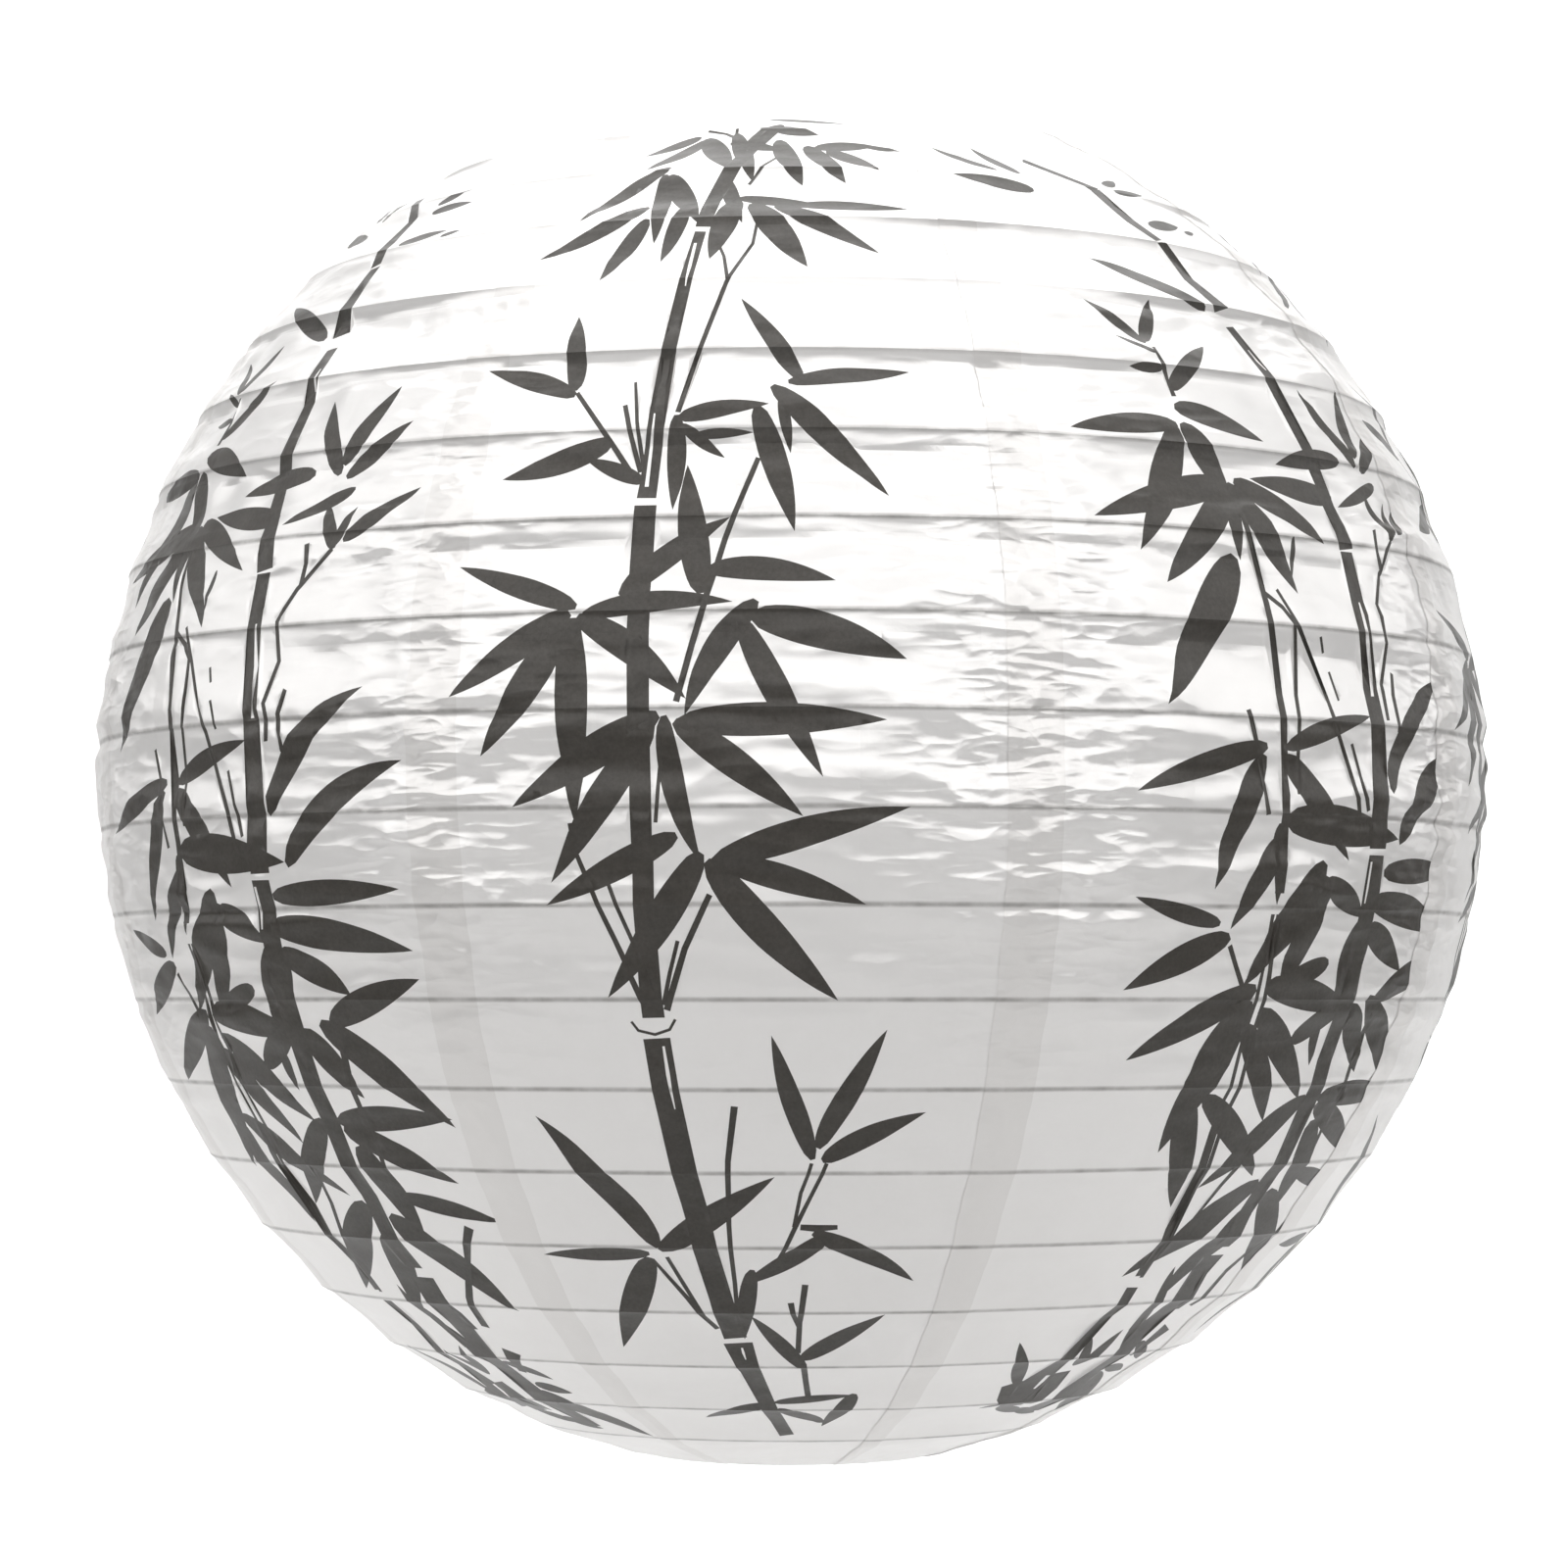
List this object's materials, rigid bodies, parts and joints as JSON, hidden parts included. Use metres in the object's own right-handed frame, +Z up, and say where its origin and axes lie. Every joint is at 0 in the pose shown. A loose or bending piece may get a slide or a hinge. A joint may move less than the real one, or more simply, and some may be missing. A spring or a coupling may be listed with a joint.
{
  "type": "paper lantern",
  "caption": "Round paper lantern shade with wire ribs and a wire spreader inside that takes a lamp holder; folds flat along its axis.",
  "frame": {"origin": "centre of the lamp-holder hole, in the plane of the plate's top face", "axes": "+Z up along the lantern axis; the two spreader legs lie in the XZ plane; -Y is the front, where the tall main bamboo stalk is printed"},
  "size_m": [0.4, 0.4, 0.3916],
  "materials": {
    "lantern_paper": "thin satin white paper with a near-black brush print",
    "hoop_wire": "thin drawn steel wire",
    "spreader_wire": "zinc plated steel wire",
    "plate_steel": "zinc plated stamped sheet"
  },
  "bodies": {
    "spreader_and_shade": {"gore_1": "lantern_paper", "gore_2": "lantern_paper", "gore_3": "lantern_paper", "gore_4": "lantern_paper", "gore_5": "lantern_paper", "gore_6": "lantern_paper", "gore_7": "lantern_paper", "gore_8": "lantern_paper", "top_hem": "lantern_paper", "top_ring": "hoop_wire", "lamp_holder_plate": "plate_steel", "left_leg": "spreader_wire", "right_leg": "spreader_wire", "upper_left_hook": "spreader_wire", "upper_right_hook": "spreader_wire", "lower_left_hook": "spreader_wire", "lower_right_hook": "spreader_wire"},
    "bottom_rim": {"bottom_ring": "hoop_wire", "bottom_hem": "lantern_paper"},
    "hoop_01": {"rib_01": "hoop_wire"},
    "hoop_02": {"rib_02": "hoop_wire"},
    "hoop_03": {"rib_03": "hoop_wire"},
    "hoop_04": {"rib_04": "hoop_wire"},
    "hoop_05": {"rib_05": "hoop_wire"},
    "hoop_06": {"rib_06": "hoop_wire"},
    "hoop_07": {"rib_07": "hoop_wire"},
    "hoop_08": {"rib_08": "hoop_wire"},
    "hoop_09": {"rib_09": "hoop_wire"},
    "hoop_10": {"rib_10": "hoop_wire"},
    "hoop_11": {"rib_11": "hoop_wire"},
    "hoop_12": {"rib_12": "hoop_wire"},
    "hoop_13": {"rib_13": "hoop_wire"},
    "hoop_14": {"rib_14": "hoop_wire"},
    "hoop_15": {"rib_15": "hoop_wire"},
    "hoop_16": {"rib_16": "hoop_wire"},
    "hoop_17": {"rib_17": "hoop_wire"},
    "hoop_18": {"rib_18": "hoop_wire"},
    "hoop_19": {"rib_19": "hoop_wire"},
    "hoop_20": {"rib_20": "hoop_wire"},
    "hoop_21": {"rib_21": "hoop_wire"}
  },
  "joints": [
    {"name": "shade_fold", "type": "slide", "parent": "spreader_and_shade", "child": "bottom_rim", "axis": [0, 0, 1], "range_m": [0, 0.356], "deforming": ["gore_1", "gore_2", "gore_3", "gore_4", "gore_5", "gore_6", "gore_7", "gore_8", "lower_left_hook", "lower_right_hook"]},
    {"name": "rib_01_travel", "type": "slide", "parent": "spreader_and_shade", "child": "hoop_01", "axis": [0, 0, 1], "range_m": [0, 0.0032]},
    {"name": "rib_02_travel", "type": "slide", "parent": "spreader_and_shade", "child": "hoop_02", "axis": [0, 0, 1], "range_m": [0, 0.0112]},
    {"name": "rib_03_travel", "type": "slide", "parent": "spreader_and_shade", "child": "hoop_03", "axis": [0, 0, 1], "range_m": [0, 0.0217]},
    {"name": "rib_04_travel", "type": "slide", "parent": "spreader_and_shade", "child": "hoop_04", "axis": [0, 0, 1], "range_m": [0, 0.0346]},
    {"name": "rib_05_travel", "type": "slide", "parent": "spreader_and_shade", "child": "hoop_05", "axis": [0, 0, 1], "range_m": [0, 0.0496]},
    {"name": "rib_06_travel", "type": "slide", "parent": "spreader_and_shade", "child": "hoop_06", "axis": [0, 0, 1], "range_m": [0, 0.0666]},
    {"name": "rib_07_travel", "type": "slide", "parent": "spreader_and_shade", "child": "hoop_07", "axis": [0, 0, 1], "range_m": [0, 0.0853]},
    {"name": "rib_08_travel", "type": "slide", "parent": "spreader_and_shade", "child": "hoop_08", "axis": [0, 0, 1], "range_m": [0, 0.1054]},
    {"name": "rib_09_travel", "type": "slide", "parent": "spreader_and_shade", "child": "hoop_09", "axis": [0, 0, 1], "range_m": [0, 0.1267]},
    {"name": "rib_10_travel", "type": "slide", "parent": "spreader_and_shade", "child": "hoop_10", "axis": [0, 0, 1], "range_m": [0, 0.1487]},
    {"name": "rib_11_travel", "type": "slide", "parent": "spreader_and_shade", "child": "hoop_11", "axis": [0, 0, 1], "range_m": [0, 0.1711]},
    {"name": "rib_12_travel", "type": "slide", "parent": "spreader_and_shade", "child": "hoop_12", "axis": [0, 0, 1], "range_m": [0, 0.1937]},
    {"name": "rib_13_travel", "type": "slide", "parent": "spreader_and_shade", "child": "hoop_13", "axis": [0, 0, 1], "range_m": [0, 0.216]},
    {"name": "rib_14_travel", "type": "slide", "parent": "spreader_and_shade", "child": "hoop_14", "axis": [0, 0, 1], "range_m": [0, 0.2377]},
    {"name": "rib_15_travel", "type": "slide", "parent": "spreader_and_shade", "child": "hoop_15", "axis": [0, 0, 1], "range_m": [0, 0.2586]},
    {"name": "rib_16_travel", "type": "slide", "parent": "spreader_and_shade", "child": "hoop_16", "axis": [0, 0, 1], "range_m": [0, 0.2782]},
    {"name": "rib_17_travel", "type": "slide", "parent": "spreader_and_shade", "child": "hoop_17", "axis": [0, 0, 1], "range_m": [0, 0.2963]},
    {"name": "rib_18_travel", "type": "slide", "parent": "spreader_and_shade", "child": "hoop_18", "axis": [0, 0, 1], "range_m": [0, 0.3126]},
    {"name": "rib_19_travel", "type": "slide", "parent": "spreader_and_shade", "child": "hoop_19", "axis": [0, 0, 1], "range_m": [0, 0.3269]},
    {"name": "rib_20_travel", "type": "slide", "parent": "spreader_and_shade", "child": "hoop_20", "axis": [0, 0, 1], "range_m": [0, 0.3389]},
    {"name": "rib_21_travel", "type": "slide", "parent": "spreader_and_shade", "child": "hoop_21", "axis": [0, 0, 1], "range_m": [0, 0.3485]}
  ],
  "couplings": [
    {"joint": "rib_01_travel", "follows": "shade_fold", "ratio": 0.00855},
    {"joint": "rib_02_travel", "follows": "shade_fold", "ratio": 0.030901},
    {"joint": "rib_03_travel", "follows": "shade_fold", "ratio": 0.060378},
    {"joint": "rib_04_travel", "follows": "shade_fold", "ratio": 0.096534},
    {"joint": "rib_05_travel", "follows": "shade_fold", "ratio": 0.13882},
    {"joint": "rib_06_travel", "follows": "shade_fold", "ratio": 0.18659},
    {"joint": "rib_07_travel", "follows": "shade_fold", "ratio": 0.23912},
    {"joint": "rib_08_travel", "follows": "shade_fold", "ratio": 0.29562},
    {"joint": "rib_09_travel", "follows": "shade_fold", "ratio": 0.35522},
    {"joint": "rib_10_travel", "follows": "shade_fold", "ratio": 0.41702},
    {"joint": "rib_11_travel", "follows": "shade_fold", "ratio": 0.48008},
    {"joint": "rib_12_travel", "follows": "shade_fold", "ratio": 0.54344},
    {"joint": "rib_13_travel", "follows": "shade_fold", "ratio": 0.60615},
    {"joint": "rib_14_travel", "follows": "shade_fold", "ratio": 0.66724},
    {"joint": "rib_15_travel", "follows": "shade_fold", "ratio": 0.72579},
    {"joint": "rib_16_travel", "follows": "shade_fold", "ratio": 0.7809},
    {"joint": "rib_17_travel", "follows": "shade_fold", "ratio": 0.83176},
    {"joint": "rib_18_travel", "follows": "shade_fold", "ratio": 0.87757},
    {"joint": "rib_19_travel", "follows": "shade_fold", "ratio": 0.91765},
    {"joint": "rib_20_travel", "follows": "shade_fold", "ratio": 0.95138},
    {"joint": "rib_21_travel", "follows": "shade_fold", "ratio": 0.97826}
  ]
}
